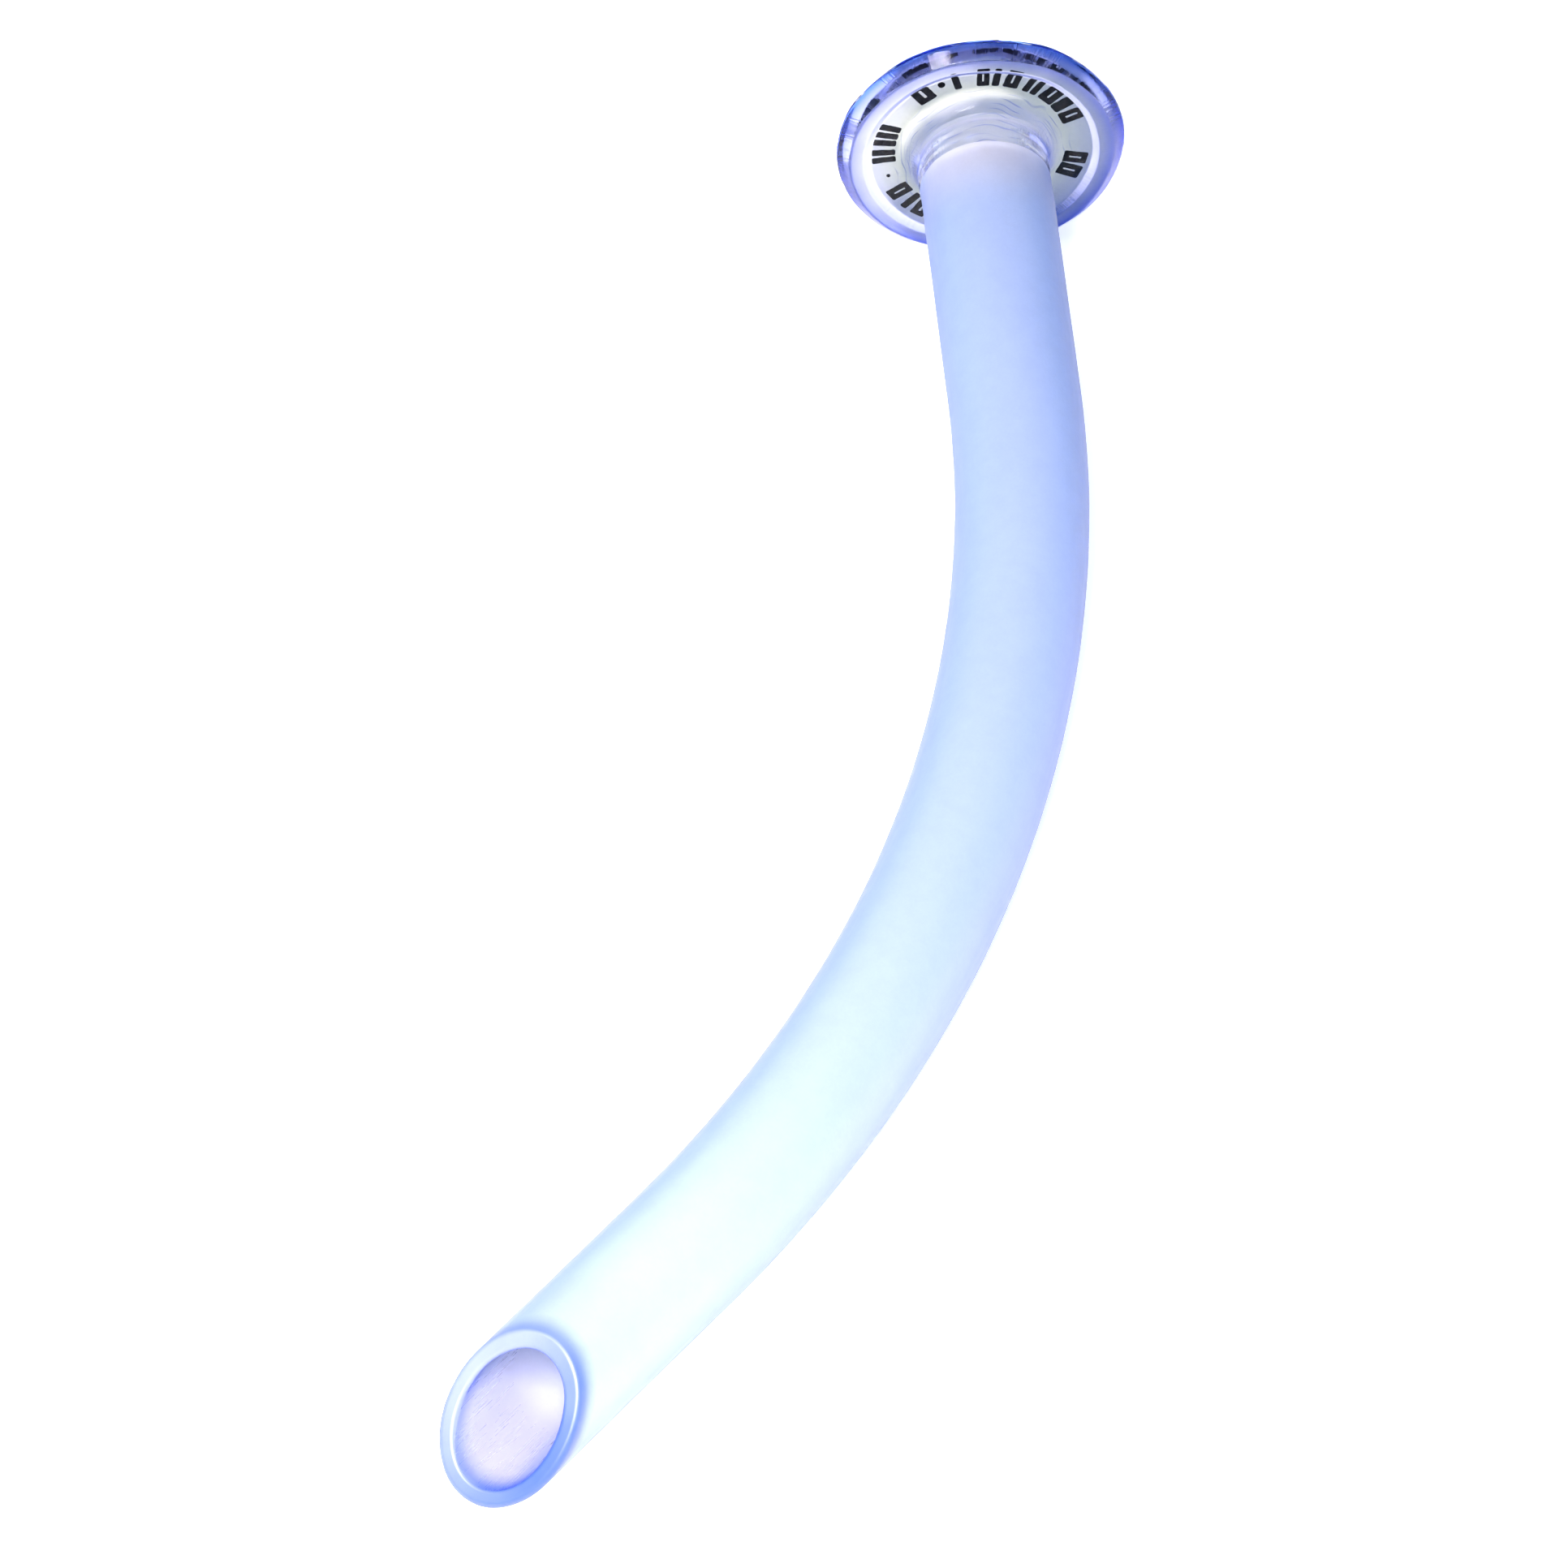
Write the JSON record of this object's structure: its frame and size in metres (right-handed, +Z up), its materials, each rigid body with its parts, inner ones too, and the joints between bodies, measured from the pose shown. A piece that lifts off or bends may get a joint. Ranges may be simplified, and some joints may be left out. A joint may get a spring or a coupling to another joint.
{
  "type": "nasopharyngeal airway",
  "caption": "Soft curved breathing tube for the nose: frosted translucent wall, open bore, rounded slanted tip and a clear flared flange.",
  "frame": {"origin": "middle of the part's footprint, on the table that it lies on", "axes": "+Z up, +X from the flange to the middle of the tip's cut, +Y towards the outside of the bend"},
  "size_m": [0.132, 0.0296, 0.0205],
  "materials": {
    "frosted_pvc": "satin",
    "print_ink": "matte"
  },
  "bodies": {
    "root": {"airway": "frosted_pvc"}
  },
  "joints": []
}
